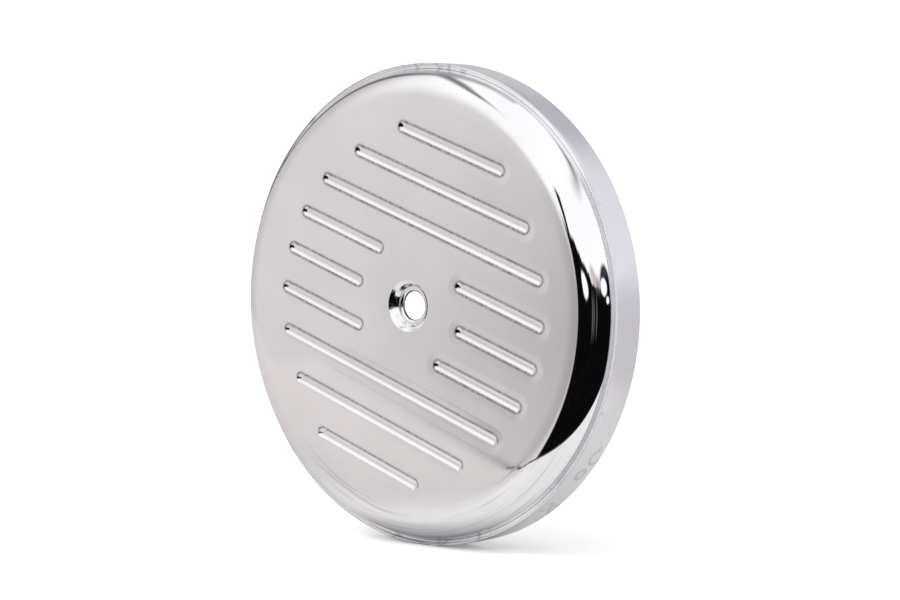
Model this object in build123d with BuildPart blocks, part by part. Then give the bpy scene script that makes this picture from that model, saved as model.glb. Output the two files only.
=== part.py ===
from build123d import *
import os
from math import cos, pi, radians, sin, sqrt

# A round motorcycle air cleaner: a chrome ball-milled cover over a pleated ring element
# on a backing plate that bolts to the carburettor.
#
# Row frame, as it hangs on the engine: +Z up, +X to the right seen from the front, and the
# cover faces -Y. The origin is the centre of the carburettor flange, on the gasket's back.
# "depth" is how far forward of that flange a thing lies, so it counts along -Y. Millimetres.

# ---- Driving dimensions ----------------------------------------------------------------

# Cover, a seven inch disc: flat face, round shoulder, V groove, then a slightly crowned band
COVER_RADIUS = 89.0
COVER_HEIGHT = 21.9
COVER_RIM_DEPTH = 14.0
SHOULDER_RADIUS = 10.7
CREASE_RADIUS = 86.9
BAND_HEIGHT = 13.3
BAND_CROWN_RADIUS = 16.0
BAND_CROWN_ANGLE = 13.0
WALL = 2.5
FACE_THICKNESS = 5.0
INNER_CORNER_RADIUS = 5.0
INNER_STEP_DEPTH = 19.0
RIM_ROUND = 0.8

# Countersunk seat for the cover screw
SEAT_LIP_RADIUS = 9.5
SEAT_FLOOR_RADIUS = 7.0
SEAT_FLOOR_DEPTH = 2.8
SCREW_HOLE_RADIUS = 5.2

# Ball-milled grooves in the face
GROOVE_TILT = -19.4
GROOVE_PITCH = 15.25
GROOVE_WIDTH = 3.8
BALL_RADIUS = 2.4
GROOVE_OUTER_CIRCLE = 63.0
GROOVE_INNER_CIRCLE = 24.0
END_ROW = 4
END_ROW_HALF_LENGTH = 26.1
SPLIT_ROWS = (-1, 0, 1)

# Element
ELEMENT_INNER_RADIUS = 56.0
ELEMENT_OUTER_RADIUS = 72.0
CAP_THICKNESS = 3.5
CAP_CHANNEL_DEPTH = 1.5
CAP_CHANNEL_WALL = 1.4
CAP_CORNER_RADIUS = 0.9
BASE_SEAL_THICKNESS = 1.0
SCREEN_THICKNESS = 0.6
SCREEN_GAP = 0.2
PLEATS = 60
PLEAT_FOLD = 3.0
SCREEN_WINDOW_ROWS = 2
SCREEN_BAR = 1.6
INNER_SCREEN_COLUMNS = 32
OUTER_SCREEN_COLUMNS = 40

# Backing plate and carburettor side
GASKET_THICKNESS = 1.0
PLATE_THICKNESS = 2.5
PLATE_RADIUS = 76.0
PLATE_LIP_WIDTH = 2.0
PLATE_LIP_HEIGHT = 3.0
LOCATING_RING_RADIUS = 55.4
LOCATING_RING_WIDTH = 1.4
LOCATING_RING_HEIGHT = 2.5
THROAT_RADIUS = 33.5
THROAT_WALL = 1.5
BELL_RADIUS = 4.0
CARBURETTOR_SCREW_CIRCLE = 43.0
CARBURETTOR_SCREW_ANGLES = (0, 120, 240)
CARBURETTOR_SHANK_RADIUS = 3.1
CARBURETTOR_THREAD_RADIUS = 3.0
CARBURETTOR_SCREW_REACH = 12.0
RIBS = 8

# Bridge that takes the cover screw
BRIDGE_WIDTH = 13.0
BRIDGE_THICKNESS = 2.5
BRIDGE_FRONT_DEPTH = 14.0
BRIDGE_LEG_OFFSET = 39.5
BRIDGE_FOOT_END = 53.0
BRIDGE_SCREW_OFFSET = 48.2
BRIDGE_SCREW_RADIUS = 2.5
NUT_FRONT_DEPTH = 16.5
NUT_LENGTH = 10.0
NUT_BARREL_RADIUS = 6.0
NUT_FLANGE_RADIUS = 6.9
NUT_BORE_RADIUS = 3.97

# Breather bolts, one for each cylinder head
BREATHER_OFFSET_X = 37.7
BREATHER_OFFSET_Z = 26.4
BREATHER_SHANK_RADIUS = 5.6
BREATHER_THREAD_RADIUS = 5.0
BREATHER_THREAD_LENGTH = 13.0
BREATHER_HEAD_FLATS = 12.7
BREATHER_HEAD_HEIGHT = 7.0
BREATHER_BORE_RADIUS = 2.5
BREATHER_REACH = 25.0
SPACER_RADIUS = 8.5
SPACER_LENGTH = 10.0
O_RING_THICKNESS = 1.3

# ---- Depths and places worked out from them --------------------------------------------

plate_back = GASKET_THICKNESS
plate_front = plate_back + PLATE_THICKNESS
cover_face = COVER_RIM_DEPTH + COVER_HEIGHT
crease_depth = cover_face - SHOULDER_RADIUS
face_flat_radius = CREASE_RADIUS - SHOULDER_RADIUS
crown_angle = radians(BAND_CROWN_ANGLE)
crown_end_depth = COVER_RIM_DEPTH + BAND_HEIGHT - BAND_CROWN_RADIUS * sin(crown_angle)
inner_radius = CREASE_RADIUS - WALL
cover_inside = cover_face - FACE_THICKNESS

REST_GAP = 0.1
SEAL_THICKNESS = 2.0
SEAL_ROUND = 0.5
element_back = plate_front + REST_GAP
element_front = cover_inside - SEAL_THICKNESS - REST_GAP
rear_cap_back = element_back + BASE_SEAL_THICKNESS
channel_bottom = rear_cap_back + CAP_THICKNESS - CAP_CHANNEL_DEPTH
channel_top = element_front - CAP_THICKNESS + CAP_CHANNEL_DEPTH
channel_inner = ELEMENT_INNER_RADIUS + CAP_CHANNEL_WALL
channel_outer = ELEMENT_OUTER_RADIUS - CAP_CHANNEL_WALL
media_inner = channel_inner + SCREEN_THICKNESS + SCREEN_GAP
media_outer = channel_outer - SCREEN_THICKNESS - SCREEN_GAP

groove_half_width = GROOVE_WIDTH / 2
ball_centre_depth = cover_face + sqrt(BALL_RADIUS**2 - groove_half_width**2)

carburettor_screws_at = [
    (CARBURETTOR_SCREW_CIRCLE * cos(radians(a)), CARBURETTOR_SCREW_CIRCLE * sin(radians(a)))
    for a in CARBURETTOR_SCREW_ANGLES
]
breather_bolts_at = [(side * BREATHER_OFFSET_X, BREATHER_OFFSET_Z) for side in (-1, 1)]
bridge_screws_at = [(0, side * BRIDGE_SCREW_OFFSET) for side in (-1, 1)]


def front(depth):
    """The plane facing forward at this depth: its x is +X and its y is +Z."""
    return Plane.XZ.offset(depth)


def at(radius, depth):
    """A point of a turned profile, which is drawn in the XY plane and turned about Y."""
    return (radius, -depth)


def write(part, name):
    """Label a finished piece and write it to its own file."""
    part.label = name
    export_step(part, f"parts/{name}.step")


HEX_SIDES = 6

os.makedirs("parts", exist_ok=True)

# ---- Cover -----------------------------------------------------------------------------


def groove_spans():
    """Every groove as its row and the ends of its ball's path along the row."""
    spans = []
    for row in range(-END_ROW, END_ROW + 1):
        height = row * GROOVE_PITCH
        if abs(row) == END_ROW:
            tip = END_ROW_HALF_LENGTH
        else:
            tip = sqrt(GROOVE_OUTER_CIRCLE**2 - height**2)
        outer = tip - groove_half_width
        if row in SPLIT_ROWS:
            inner = sqrt(GROOVE_INNER_CIRCLE**2 - height**2) + groove_half_width
            spans.append((row, -outer, -inner))
            spans.append((row, inner, outer))
        else:
            spans.append((row, -outer, outer))
    return spans


def groove_plane(row):
    """A plane along one row of grooves: x runs along the row, y into the cover."""
    tilt = radians(GROOVE_TILT)
    along = Vector(cos(tilt), 0, sin(tilt))
    height = row * GROOVE_PITCH
    origin = (-sin(tilt) * height, -ball_centre_depth, cos(tilt) * height)
    return Plane(origin=origin, x_dir=along, z_dir=along.cross(Vector(0, 1, 0)))


with BuildPart() as cover:
    with BuildSketch(Plane.XY):
        with BuildLine():
            face = Line(at(0, cover_face), at(face_flat_radius, cover_face))
            shoulder = JernArc(face @ 1, face % 1, SHOULDER_RADIUS, 90)
            crown = JernArc(
                at(COVER_RADIUS, crown_end_depth), (0, -1), BAND_CROWN_RADIUS, -BAND_CROWN_ANGLE
            )
            Line(shoulder @ 1, crown @ 1)
            Polyline(
                crown @ 0,
                at(COVER_RADIUS, COVER_RIM_DEPTH),
                at(COVER_RADIUS - WALL, COVER_RIM_DEPTH),
                at(COVER_RADIUS - WALL, INNER_STEP_DEPTH),
                at(inner_radius, crown_end_depth),
                at(inner_radius, cover_inside),
                at(0, cover_inside),
                at(0, cover_face),
            )
        make_face()
    revolve(axis=Axis.Y)
    inner_corner = (
        cover.edges()
        .filter_by(GeomType.CIRCLE)
        .filter_by(lambda e: abs(e.radius - inner_radius) < 0.01)
        .sort_by(Axis.Y)[0]
    )
    fillet(inner_corner, INNER_CORNER_RADIUS)
    rim_edges = cover.edges().filter_by(GeomType.CIRCLE).group_by(Axis.Y)[-1]
    fillet(rim_edges, RIM_ROUND)
    # Seat: a countersunk lip, a flat floor and the screw hole
    with BuildSketch(Plane.XY):
        with BuildLine():
            Polyline(
                at(0, cover_face + 1),
                at(SEAT_LIP_RADIUS + 1, cover_face + 1),
                at(SEAT_LIP_RADIUS, cover_face),
                at(SEAT_FLOOR_RADIUS, cover_face - SEAT_FLOOR_DEPTH),
                at(SCREW_HOLE_RADIUS, cover_face - SEAT_FLOOR_DEPTH),
                at(SCREW_HOLE_RADIUS, cover_inside - 1),
                at(0, cover_inside - 1),
                close=True,
            )
        make_face()
    revolve(axis=Axis.Y, mode=Mode.SUBTRACT)
    # Grooves: the path of a ball-ended cutter, half a slot turned about its own length
    for row, start, end in groove_spans():
        plane = groove_plane(row)
        with BuildSketch(plane):
            with BuildLine():
                Line((start - BALL_RADIUS, 0), (end + BALL_RADIUS, 0))
                RadiusArc((start - BALL_RADIUS, 0), (start, BALL_RADIUS), BALL_RADIUS)
                Line((start, BALL_RADIUS), (end, BALL_RADIUS))
                RadiusArc((end, BALL_RADIUS), (end + BALL_RADIUS, 0), BALL_RADIUS)
            make_face()
        revolve(axis=Axis(plane.origin, plane.x_dir), mode=Mode.SUBTRACT)

write(cover.part, "cover")

with BuildPart() as cover_seal:
    with BuildSketch(front(cover_inside - SEAL_THICKNESS)):
        Circle(ELEMENT_OUTER_RADIUS - 1)
        Circle(ELEMENT_INNER_RADIUS + 1, mode=Mode.SUBTRACT)
    extrude(amount=SEAL_THICKNESS)
    fillet(cover_seal.edges().filter_by(GeomType.CIRCLE).group_by(Axis.Y)[-1], SEAL_ROUND)

write(cover_seal.part, "cover_seal")

# ---- Element ---------------------------------------------------------------------------


def end_cap_profile(outside, inside):
    """Half section of an end cap: a ring with a channel that faces the pleats."""
    channel = inside + (outside - inside) * CAP_CHANNEL_DEPTH / CAP_THICKNESS
    Polyline(
        at(ELEMENT_INNER_RADIUS, outside),
        at(ELEMENT_OUTER_RADIUS, outside),
        at(ELEMENT_OUTER_RADIUS, inside),
        at(channel_outer, inside),
        at(channel_outer, channel),
        at(channel_inner, channel),
        at(channel_inner, inside),
        at(ELEMENT_INNER_RADIUS, inside),
        close=True,
    )


def end_cap(outside, inside):
    """A moulded end cap with rounded outer corners."""
    with BuildPart() as cap:
        with BuildSketch(Plane.XY):
            with BuildLine():
                end_cap_profile(outside, inside)
            make_face()
        revolve(axis=Axis.Y)
        corners = cap.edges().filter_by(GeomType.CIRCLE).filter_by(
            lambda e: abs(e.center().Y + outside) < 0.01
        )
        fillet(corners, CAP_CORNER_RADIUS)
    return cap.part


write(end_cap(rear_cap_back, rear_cap_back + CAP_THICKNESS), "element_rear_cap")
write(end_cap(element_front, element_front - CAP_THICKNESS), "element_front_cap")

with BuildPart() as element_base_seal:
    with BuildSketch(front(element_back)):
        Circle(ELEMENT_OUTER_RADIUS - 2)
        Circle(ELEMENT_INNER_RADIUS + 2, mode=Mode.SUBTRACT)
    extrude(amount=BASE_SEAL_THICKNESS)

write(element_base_seal.part, "element_base_seal")


def pleat_outline(tip, valley):
    """A closed zigzag round the axis, from tip radius to valley radius and back."""
    corners = []
    for i in range(2 * PLEATS):
        radius = tip if i % 2 == 0 else valley
        angle = i * pi / PLEATS
        corners.append((radius * cos(angle), radius * sin(angle)))
    return corners


with BuildPart() as element_media:
    with BuildSketch(front(channel_bottom)):
        Polygon(*pleat_outline(media_outer, media_inner + PLEAT_FOLD), align=None)
        Polygon(
            *pleat_outline(media_outer - PLEAT_FOLD, media_inner),
            align=None,
            mode=Mode.SUBTRACT,
        )
    extrude(amount=channel_top - channel_bottom)

write(element_media.part, "element_media")


def screen(tube_radius, columns):
    """A thin tube between the end caps with rows of open windows."""
    height = channel_top - channel_bottom
    open_height = height - 2 * CAP_CHANNEL_DEPTH
    row_height = open_height / SCREEN_WINDOW_ROWS
    window_width = 2 * pi * tube_radius / columns - SCREEN_BAR
    middle = (channel_bottom + channel_top) / 2
    with BuildPart() as tube:
        with BuildSketch(front(channel_bottom)):
            Circle(tube_radius + SCREEN_THICKNESS)
            Circle(tube_radius, mode=Mode.SUBTRACT)
        extrude(amount=height)
        for row in range(SCREEN_WINDOW_ROWS):
            depth = middle + (row - (SCREEN_WINDOW_ROWS - 1) / 2) * row_height
            with Locations(front(depth)):
                with PolarLocations(tube_radius, columns):
                    Box(
                        5 * SCREEN_THICKNESS,
                        window_width,
                        row_height - SCREEN_BAR,
                        mode=Mode.SUBTRACT,
                    )
    return tube.part


write(screen(channel_inner, INNER_SCREEN_COLUMNS), "element_inner_screen")
write(screen(channel_outer - SCREEN_THICKNESS, OUTER_SCREEN_COLUMNS), "element_outer_screen")

# ---- Backing plate ---------------------------------------------------------------------

ring_outer = THROAT_RADIUS + THROAT_WALL
BOSS_RADIUS = 5.5
BOSS_HEIGHT = 3.0
RIB_WIDTH = 2.5
RIB_INNER_RADIUS = 56.0
RIB_OUTER_RADIUS = 74.0
FIRST_RIB_ANGLE = 180 / RIBS
CARBURETTOR_HOLE_RADIUS = 3.3
BREATHER_HOLE_RADIUS = 5.8
LIP_ROUND = 0.6
BACK_ROUND = 1.2
rib_length = RIB_OUTER_RADIUS - RIB_INNER_RADIUS
rib_middle = (RIB_OUTER_RADIUS + RIB_INNER_RADIUS) / 2

with BuildPart() as backing_plate:
    with BuildSketch(front(plate_back)):
        Circle(PLATE_RADIUS)
    extrude(amount=PLATE_THICKNESS)
    # Turned-up lip at the edge, and the ring that centres the element
    with BuildSketch(front(plate_front)):
        Circle(PLATE_RADIUS)
        Circle(PLATE_RADIUS - PLATE_LIP_WIDTH, mode=Mode.SUBTRACT)
    extrude(amount=PLATE_LIP_HEIGHT)
    with BuildSketch(front(plate_front)):
        Circle(LOCATING_RING_RADIUS)
        Circle(LOCATING_RING_RADIUS - LOCATING_RING_WIDTH, mode=Mode.SUBTRACT)
    extrude(amount=LOCATING_RING_HEIGHT)
    # Ribs and screw bosses on the back
    with BuildSketch(front(plate_back)):
        with PolarLocations(rib_middle, RIBS, start_angle=FIRST_RIB_ANGLE):
            Rectangle(rib_length, RIB_WIDTH)
        with Locations(*bridge_screws_at):
            Circle(BOSS_RADIUS)
    extrude(amount=-BOSS_HEIGHT)
    # Throat, and holes for the carburettor screws, breather bolts and bridge screws
    with BuildSketch(front(plate_front)):
        Circle(ring_outer)
        with Locations(*carburettor_screws_at):
            Circle(CARBURETTOR_HOLE_RADIUS)
        with Locations(*breather_bolts_at):
            Circle(BREATHER_HOLE_RADIUS)
        with Locations(*bridge_screws_at):
            Circle(BRIDGE_SCREW_RADIUS)
    extrude(amount=-(PLATE_THICKNESS + BOSS_HEIGHT + 1), mode=Mode.SUBTRACT)
    lip_edges = backing_plate.edges().filter_by(GeomType.CIRCLE).group_by(Axis.Y)[0]
    fillet(lip_edges, LIP_ROUND)
    back_edge = backing_plate.edges().filter_by(GeomType.CIRCLE).filter_by(
        lambda e: abs(e.radius - PLATE_RADIUS) < 0.01
    )
    fillet(back_edge.sort_by(Axis.Y)[-1], BACK_ROUND)

write(backing_plate.part, "backing_plate")

# ---- Bellmouth ring in the throat ------------------------------------------------------

BELL_STRAIGHT = 0.5
bell_start = plate_front + BELL_STRAIGHT

with BuildPart() as velocity_ring:
    with BuildSketch(Plane.XY):
        with BuildLine():
            wall = Line(at(THROAT_RADIUS, plate_back), at(THROAT_RADIUS, bell_start))
            flare = JernArc(wall @ 1, wall % 1, BELL_RADIUS, 90)
            back = JernArc(
                at(ring_outer, bell_start), (0, -1), BELL_RADIUS - THROAT_WALL, 90
            )
            Line(flare @ 1, back @ 1)
            Line(at(ring_outer, bell_start), at(ring_outer, plate_back))
            Line(at(ring_outer, plate_back), at(THROAT_RADIUS, plate_back))
        make_face()
    revolve(axis=Axis.Y)

write(velocity_ring.part, "velocity_ring")

# ---- Carburettor gasket and screws -----------------------------------------------------

GASKET_RING_RADIUS = 37.2
GASKET_EAR_RADIUS = 6.8
WASHER_RADIUS = 5.2
WASHER_THICKNESS = 1.0
WASHER_CHAMFER = 0.25
SOCKET_HEAD_RADIUS = 4.8
SOCKET_HEAD_HEIGHT = 5.0
SOCKET_HEAD_CHAMFER = 0.5
SOCKET_RADIUS = 2.9
SOCKET_DEPTH = 3.0
CARBURETTOR_SCREW_CHAMFER = 0.6

with BuildPart() as carburettor_gasket:
    with BuildSketch(front(0)):
        Circle(GASKET_RING_RADIUS)
        with Locations(*carburettor_screws_at):
            Circle(GASKET_EAR_RADIUS)
        Circle(THROAT_RADIUS, mode=Mode.SUBTRACT)
        with Locations(*carburettor_screws_at):
            Circle(CARBURETTOR_HOLE_RADIUS, mode=Mode.SUBTRACT)
    extrude(amount=GASKET_THICKNESS)

write(carburettor_gasket.part, "carburettor_gasket")

with BuildPart() as carburettor_washers:
    with BuildSketch(front(plate_front)):
        with Locations(*carburettor_screws_at):
            Circle(WASHER_RADIUS)
            Circle(CARBURETTOR_HOLE_RADIUS, mode=Mode.SUBTRACT)
    extrude(amount=WASHER_THICKNESS)
    chamfer(carburettor_washers.edges().group_by(Axis.Y)[0], WASHER_CHAMFER)

write(carburettor_washers.part, "carburettor_washers")

screw_seat = plate_front + WASHER_THICKNESS

with BuildPart() as carburettor_screws:
    with BuildSketch(front(screw_seat)):
        with Locations(*carburettor_screws_at):
            Circle(SOCKET_HEAD_RADIUS)
    extrude(amount=SOCKET_HEAD_HEIGHT)
    chamfer(carburettor_screws.edges().group_by(Axis.Y)[0], SOCKET_HEAD_CHAMFER)
    with BuildSketch(front(screw_seat + SOCKET_HEAD_HEIGHT)):
        with Locations(*carburettor_screws_at):
            RegularPolygon(SOCKET_RADIUS, HEX_SIDES)
    extrude(amount=-SOCKET_DEPTH, mode=Mode.SUBTRACT)
    with BuildSketch(front(screw_seat)):
        with Locations(*carburettor_screws_at):
            Circle(CARBURETTOR_SHANK_RADIUS)
    extrude(amount=-screw_seat)
    with BuildSketch(front(0)):
        with Locations(*carburettor_screws_at):
            Circle(CARBURETTOR_THREAD_RADIUS)
    extrude(amount=-CARBURETTOR_SCREW_REACH)
    chamfer(carburettor_screws.edges().group_by(Axis.Y)[-1], CARBURETTOR_SCREW_CHAMFER)

write(carburettor_screws.part, "carburettor_screws")

# ---- Bridge across the throat ----------------------------------------------------------

BEND_RADIUS = 1.6
BRIDGE_HOLE_CLEARANCE = 0.3
NUT_RIM_ROUND = 0.5
bridge_hole_radius = BRIDGE_SCREW_RADIUS + BRIDGE_HOLE_CLEARANCE
bridge_back = BRIDGE_FRONT_DEPTH - BRIDGE_THICKNESS
foot_front = plate_front + BRIDGE_THICKNESS
leg_outer = BRIDGE_LEG_OFFSET + BRIDGE_THICKNESS


def bridge_point(height, depth):
    """A point of the bridge's side outline, drawn in the YZ plane."""
    return (-depth, height)


with BuildPart() as bridge:
    with BuildSketch(Plane.YZ):
        with BuildLine():
            half = Polyline(
                bridge_point(0, BRIDGE_FRONT_DEPTH),
                bridge_point(leg_outer, BRIDGE_FRONT_DEPTH),
                bridge_point(leg_outer, foot_front),
                bridge_point(BRIDGE_FOOT_END, foot_front),
                bridge_point(BRIDGE_FOOT_END, plate_front),
                bridge_point(BRIDGE_LEG_OFFSET, plate_front),
                bridge_point(BRIDGE_LEG_OFFSET, bridge_back),
                bridge_point(0, bridge_back),
            )
            mirror(half, about=Plane.XZ)
        make_face()
    extrude(amount=BRIDGE_WIDTH / 2, both=True)
    bends = bridge.edges().filter_by(Axis.X).filter_by(
        lambda e: abs(abs(e.center().Z) - leg_outer) < 0.01
    )
    fillet(bends, BEND_RADIUS)
    with BuildSketch(front(foot_front)):
        with Locations(*bridge_screws_at):
            Circle(bridge_hole_radius)
    extrude(amount=-BRIDGE_THICKNESS, mode=Mode.SUBTRACT)
    with BuildSketch(front(BRIDGE_FRONT_DEPTH)):
        Circle(NUT_BARREL_RADIUS)
    extrude(amount=-BRIDGE_THICKNESS, mode=Mode.SUBTRACT)

write(bridge.part, "bridge")

with BuildPart() as cover_screw_nut:
    with BuildSketch(front(NUT_FRONT_DEPTH)):
        Circle(NUT_BARREL_RADIUS)
    extrude(amount=-NUT_LENGTH)
    with BuildSketch(front(BRIDGE_FRONT_DEPTH)):
        Circle(NUT_FLANGE_RADIUS)
    extrude(amount=NUT_FRONT_DEPTH - BRIDGE_FRONT_DEPTH)
    with BuildSketch(front(NUT_FRONT_DEPTH)):
        Circle(NUT_BORE_RADIUS)
    extrude(amount=-NUT_LENGTH, mode=Mode.SUBTRACT)
    nut_rim = cover_screw_nut.edges().filter_by(GeomType.CIRCLE).filter_by(
        lambda e: abs(e.radius - NUT_FLANGE_RADIUS) < 0.01
    )
    fillet(nut_rim.sort_by(Axis.Y)[0], NUT_RIM_ROUND)

write(cover_screw_nut.part, "cover_screw_nut")

PAN_WASHER_RADIUS = 4.3
PAN_WASHER_THICKNESS = 1.2
SPRING_WASHER_GAP = 0.8
SPRING_WASHER_GAP_ANGLE = 25
PAN_HEAD_RADIUS = 4.2
PAN_HEAD_HEIGHT = 3.0
PAN_HEAD_ROUND = 1.4
CROSS_SLOT_LENGTH = 4.4
CROSS_SLOT_WIDTH = 1.0
CROSS_SLOT_DEPTH = 1.6
pan_seat = foot_front + PAN_WASHER_THICKNESS

with BuildPart() as bridge_washers:
    with BuildSketch(front(foot_front)):
        with Locations(*bridge_screws_at):
            Circle(PAN_WASHER_RADIUS)
            Circle(bridge_hole_radius, mode=Mode.SUBTRACT)
    extrude(amount=PAN_WASHER_THICKNESS)
    # Each is a spring washer, so its ring is cut through on one side
    with BuildSketch(front(foot_front)):
        for x, z in bridge_screws_at:
            with Locations(Location((x + PAN_WASHER_RADIUS, z, 0), SPRING_WASHER_GAP_ANGLE)):
                Rectangle(2 * PAN_WASHER_RADIUS, SPRING_WASHER_GAP)
    extrude(amount=PAN_WASHER_THICKNESS, mode=Mode.SUBTRACT)

write(bridge_washers.part, "bridge_washers")

with BuildPart() as bridge_screws:
    with BuildSketch(front(pan_seat)):
        with Locations(*bridge_screws_at):
            Circle(PAN_HEAD_RADIUS)
    extrude(amount=PAN_HEAD_HEIGHT)
    fillet(bridge_screws.edges().group_by(Axis.Y)[0], PAN_HEAD_ROUND)
    with BuildSketch(front(pan_seat + PAN_HEAD_HEIGHT)):
        with Locations(*bridge_screws_at):
            Rectangle(CROSS_SLOT_LENGTH, CROSS_SLOT_WIDTH)
            Rectangle(CROSS_SLOT_WIDTH, CROSS_SLOT_LENGTH)
    extrude(amount=-CROSS_SLOT_DEPTH, mode=Mode.SUBTRACT)
    with BuildSketch(front(pan_seat)):
        with Locations(*bridge_screws_at):
            Circle(BRIDGE_SCREW_RADIUS)
    extrude(amount=-(pan_seat - plate_back + BOSS_HEIGHT))

write(bridge_screws.part, "bridge_screws")

# ---- Breather bolts --------------------------------------------------------------------

BREATHER_WASHER_RADIUS = 7.6
BREATHER_WASHER_THICKNESS = 1.2
BREATHER_WASHER_ROUND = 0.3
BREATHER_HEAD_CHAMFER = 0.6
BREATHER_TAIL_CHAMFER = 0.8
CROSS_BORE_RADIUS = 1.5
SPACER_CHAMFER = 0.4
breather_seat = plate_front + BREATHER_WASHER_THICKNESS
breather_head_radius = BREATHER_HEAD_FLATS / sqrt(3)
breather_middle = breather_seat + BREATHER_HEAD_HEIGHT / 2

with BuildPart() as breather_washers:
    with BuildSketch(front(plate_front)):
        with Locations(*breather_bolts_at):
            Circle(BREATHER_WASHER_RADIUS)
            Circle(BREATHER_HOLE_RADIUS, mode=Mode.SUBTRACT)
    extrude(amount=BREATHER_WASHER_THICKNESS)
    fillet(breather_washers.edges().group_by(Axis.Y)[0], BREATHER_WASHER_ROUND)

write(breather_washers.part, "breather_washers")

with BuildPart() as breather_bolts:
    with BuildSketch(front(breather_seat)):
        with Locations(*breather_bolts_at):
            RegularPolygon(breather_head_radius, HEX_SIDES)
    extrude(amount=BREATHER_HEAD_HEIGHT)
    chamfer(breather_bolts.edges().group_by(Axis.Y)[0], BREATHER_HEAD_CHAMFER)
    with BuildSketch(front(breather_seat)):
        with Locations(*breather_bolts_at):
            Circle(BREATHER_SHANK_RADIUS)
    extrude(amount=-(breather_seat + BREATHER_REACH - BREATHER_THREAD_LENGTH))
    with BuildSketch(front(BREATHER_THREAD_LENGTH - BREATHER_REACH)):
        with Locations(*breather_bolts_at):
            Circle(BREATHER_THREAD_RADIUS)
    extrude(amount=-BREATHER_THREAD_LENGTH)
    chamfer(breather_bolts.edges().group_by(Axis.Y)[-1], BREATHER_TAIL_CHAMFER)
    # Vent bore from the tail to the head, and the cross bore that lets it out
    with BuildSketch(front(-BREATHER_REACH)):
        with Locations(*breather_bolts_at):
            Circle(BREATHER_BORE_RADIUS)
    extrude(amount=BREATHER_REACH + breather_middle, mode=Mode.SUBTRACT)
    with BuildSketch(Plane.XY.offset(BREATHER_OFFSET_Z)):
        with Locations(*[(x, -breather_middle) for x, _ in breather_bolts_at]):
            Circle(CROSS_BORE_RADIUS)
    extrude(amount=BREATHER_HEAD_FLATS, both=True, mode=Mode.SUBTRACT)

write(breather_bolts.part, "breather_bolts")

with BuildPart() as breather_spacers:
    with BuildSketch(front(plate_back)):
        with Locations(*breather_bolts_at):
            Circle(SPACER_RADIUS)
            Circle(BREATHER_HOLE_RADIUS, mode=Mode.SUBTRACT)
    extrude(amount=-SPACER_LENGTH)
    chamfer(breather_spacers.edges().group_by(Axis.Y)[-1], SPACER_CHAMFER)

write(breather_spacers.part, "breather_spacers")

with BuildPart() as breather_o_rings:
    ring_depth = plate_back - SPACER_LENGTH - O_RING_THICKNESS
    for x, z in breather_bolts_at:
        with Locations(Location((x, -ring_depth, z), (90, 0, 0))):
            Torus(BREATHER_HOLE_RADIUS + O_RING_THICKNESS, O_RING_THICKNESS)

write(breather_o_rings.part, "breather_o_rings")
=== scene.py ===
"""Looks of a round ball-milled motorcycle air cleaner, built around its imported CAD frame.

The row frame is the CAD's: +Z up, +X right seen from the front, the cover faces -Y, metres.
"depth" is how far forward of the carburettor flange a thing lies, so it counts along -Y.
"""

from math import asin, atan2, ceil, cos, degrees, exp, pi, radians, sin, sqrt, tan, tau

import bmesh
import bpy
import numpy as np
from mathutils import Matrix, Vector
from mathutils.geometry import delaunay_2d_cdt


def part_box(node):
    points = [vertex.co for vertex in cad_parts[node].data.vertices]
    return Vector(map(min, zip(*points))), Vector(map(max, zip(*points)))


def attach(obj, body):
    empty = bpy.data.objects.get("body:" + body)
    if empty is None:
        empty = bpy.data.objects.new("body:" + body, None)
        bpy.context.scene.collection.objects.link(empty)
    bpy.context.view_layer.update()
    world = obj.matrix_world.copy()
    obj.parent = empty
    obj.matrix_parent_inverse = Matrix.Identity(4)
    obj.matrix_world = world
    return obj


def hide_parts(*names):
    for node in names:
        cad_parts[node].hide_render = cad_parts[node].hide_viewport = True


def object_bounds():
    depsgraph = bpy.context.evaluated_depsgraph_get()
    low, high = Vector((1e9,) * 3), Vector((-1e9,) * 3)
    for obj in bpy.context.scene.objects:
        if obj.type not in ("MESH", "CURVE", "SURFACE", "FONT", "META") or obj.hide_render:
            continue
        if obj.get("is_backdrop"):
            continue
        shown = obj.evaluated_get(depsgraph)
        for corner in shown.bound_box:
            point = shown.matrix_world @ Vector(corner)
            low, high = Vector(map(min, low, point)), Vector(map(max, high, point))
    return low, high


MM = 0.001

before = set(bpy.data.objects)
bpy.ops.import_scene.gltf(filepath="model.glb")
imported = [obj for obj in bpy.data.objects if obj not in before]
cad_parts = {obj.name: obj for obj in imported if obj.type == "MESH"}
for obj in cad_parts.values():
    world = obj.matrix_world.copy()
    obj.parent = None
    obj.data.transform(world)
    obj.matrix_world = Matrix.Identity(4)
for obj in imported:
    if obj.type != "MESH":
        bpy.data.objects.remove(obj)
cad_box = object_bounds()

# ---- Driving dimensions, in mm ----

COVER_LOW, COVER_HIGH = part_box("cover")
COVER_RADIUS = COVER_HIGH.x / MM
FACE_DEPTH = -COVER_LOW.y / MM
RIM_DEPTH = -COVER_HIGH.y / MM
SHOULDER_RADIUS = 10.7
CREASE_RADIUS = 86.9
CREST_DEPTH = RIM_DEPTH + 13.3
CROWN_RADIUS = 30.0
CROWN_ANGLE = radians(6)
WALL = 2.5
INSIDE_DEPTH = FACE_DEPTH - 5.0
INSIDE_RADIUS = CREASE_RADIUS - WALL
INSIDE_STEP = 19.0

SEAT_LIP_RADIUS = 9.5
SEAT_FLOOR_RADIUS = 7.0
SEAT_FLOOR_DEPTH = FACE_DEPTH - 2.8
SEAT_BEND = (8.2, FACE_DEPTH - 0.95, 1.6)
HOLE_RADIUS = 5.2

TILT = radians(-19.4)
PITCH = 15.25
BALL_RADIUS = 2.75
GROOVE_HALF_WIDTH = 2.05
GROOVE_LIP = 0.22
END_ROW = 4
END_ROW_TIP = 26.1
OUTER_TIPS = 63.0
INNER_TIPS = 24.0
SPLIT_ROWS = (-1, 0, 1)

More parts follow.
